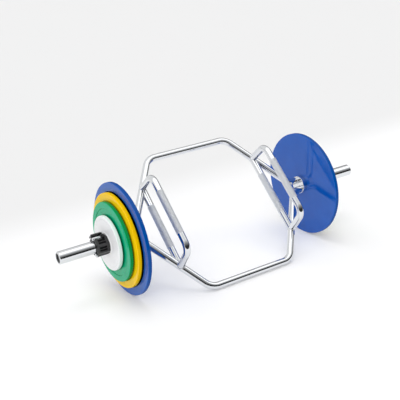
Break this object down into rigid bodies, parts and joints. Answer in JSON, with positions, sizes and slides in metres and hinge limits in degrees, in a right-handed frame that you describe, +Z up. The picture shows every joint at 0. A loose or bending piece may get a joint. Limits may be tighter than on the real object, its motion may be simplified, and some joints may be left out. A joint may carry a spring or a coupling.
{
  "type": "hex trap bar",
  "caption": "Hexagonal trap bar with low and raised knurled grips, loaded with coloured discs held on its sleeves by hinged lever collars.",
  "frame": {"origin": "on the floor, under the middle of the bar", "axes": "+X along the sleeves to the right, +Y to the rear, +Z up"},
  "size_m": [1.4232, 0.4654, 0.45],
  "materials": {
    "chrome": "polished chrome plate",
    "knurled_chrome": "chrome plate over knurling at the grip",
    "blue_paint": "glossy",
    "yellow_paint": "glossy",
    "green_paint": "glossy",
    "white_paint": "glossy",
    "black_plastic": "moulded, half matt",
    "pin_steel": "ground",
    "black_rubber": "matt"
  },
  "bodies": {
    "frame": {"front_frame_tube": "chrome", "rear_frame_tube": "chrome", "left_low_handle": "knurled_chrome", "left_raised_handle": "knurled_chrome", "left_stop_flange": "chrome", "left_sleeve": "chrome", "left_sleeve_cap": "black_plastic", "right_low_handle": "knurled_chrome", "right_raised_handle": "knurled_chrome", "right_stop_flange": "chrome", "right_sleeve": "chrome", "right_sleeve_cap": "black_plastic"},
    "left_blue_disc": {"left_blue_disc": "blue_paint"},
    "left_yellow_disc": {"left_yellow_disc": "yellow_paint"},
    "left_green_disc": {"left_green_disc": "green_paint"},
    "left_white_disc": {"left_white_disc": "white_paint"},
    "left_collar": {"left_collar_main_jaw": "black_plastic", "left_collar_hinge_pin": "pin_steel", "left_collar_main_pad": "black_rubber"},
    "left_collar_front": {"left_collar_swing_jaw": "black_plastic", "left_collar_swing_pad": "black_rubber", "left_collar_lever_pin": "pin_steel"},
    "left_collar_lever": {"left_collar_lever": "black_plastic"},
    "right_blue_disc": {"right_blue_disc": "blue_paint"},
    "right_yellow_disc": {"right_yellow_disc": "yellow_paint"},
    "right_green_disc": {"right_green_disc": "green_paint"},
    "right_white_disc": {"right_white_disc": "white_paint"},
    "right_collar": {"right_collar_main_jaw": "black_plastic", "right_collar_hinge_pin": "pin_steel", "right_collar_main_pad": "black_rubber"},
    "right_collar_front": {"right_collar_swing_jaw": "black_plastic", "right_collar_swing_pad": "black_rubber", "right_collar_lever_pin": "pin_steel"},
    "right_collar_lever": {"right_collar_lever": "black_plastic"}
  },
  "joints": [
    {"name": "left_blue_disc_turn", "type": "hinge", "parent": "frame", "child": "left_blue_disc", "pos_m": [0, 0, 0.225], "axis": [1, 0, 0], "continuous": true},
    {"name": "left_yellow_disc_turn", "type": "hinge", "parent": "frame", "child": "left_yellow_disc", "pos_m": [0, 0, 0.225], "axis": [1, 0, 0], "continuous": true},
    {"name": "left_green_disc_turn", "type": "hinge", "parent": "frame", "child": "left_green_disc", "pos_m": [0, 0, 0.225], "axis": [1, 0, 0], "continuous": true},
    {"name": "left_white_disc_turn", "type": "hinge", "parent": "frame", "child": "left_white_disc", "pos_m": [0, 0, 0.225], "axis": [1, 0, 0], "continuous": true},
    {"name": "left_collar_slide", "type": "slide", "parent": "frame", "child": "left_collar", "axis": [-1, 0, 0], "range_m": [0, 0.21]},
    {"name": "left_collar_jaw_hinge", "type": "hinge", "parent": "left_collar", "child": "left_collar_front", "pos_m": [-0.53952, -0.02121, 0.19972], "axis": [1, 0, 0], "range_deg": [0, 7.2]},
    {"name": "left_collar_lever_hinge", "type": "hinge", "parent": "left_collar_front", "child": "left_collar_lever", "pos_m": [-0.53042, -0.008, 0.261], "axis": [1, 0, 0], "range_deg": [0, 90]},
    {"name": "right_blue_disc_turn", "type": "hinge", "parent": "frame", "child": "right_blue_disc", "pos_m": [0, 0, 0.225], "axis": [1, 0, 0], "continuous": true},
    {"name": "right_yellow_disc_turn", "type": "hinge", "parent": "frame", "child": "right_yellow_disc", "pos_m": [0, 0, 0.225], "axis": [1, 0, 0], "continuous": true},
    {"name": "right_green_disc_turn", "type": "hinge", "parent": "frame", "child": "right_green_disc", "pos_m": [0, 0, 0.225], "axis": [1, 0, 0], "continuous": true},
    {"name": "right_white_disc_turn", "type": "hinge", "parent": "frame", "child": "right_white_disc", "pos_m": [0, 0, 0.225], "axis": [1, 0, 0], "continuous": true},
    {"name": "right_collar_slide", "type": "slide", "parent": "frame", "child": "right_collar", "axis": [1, 0, 0], "range_m": [0, 0.21]},
    {"name": "right_collar_jaw_hinge", "type": "hinge", "parent": "right_collar", "child": "right_collar_front", "pos_m": [0.53952, -0.02121, 0.19972], "axis": [1, 0, 0], "range_deg": [0, 7.2]},
    {"name": "right_collar_lever_hinge", "type": "hinge", "parent": "right_collar_front", "child": "right_collar_lever", "pos_m": [0.53042, -0.008, 0.261], "axis": [1, 0, 0], "range_deg": [0, 90]}
  ],
  "couplings": [
    {"joint": "left_collar_jaw_hinge", "follows": "left_collar_lever_hinge", "ratio": 0.08},
    {"joint": "right_collar_jaw_hinge", "follows": "right_collar_lever_hinge", "ratio": 0.08}
  ]
}
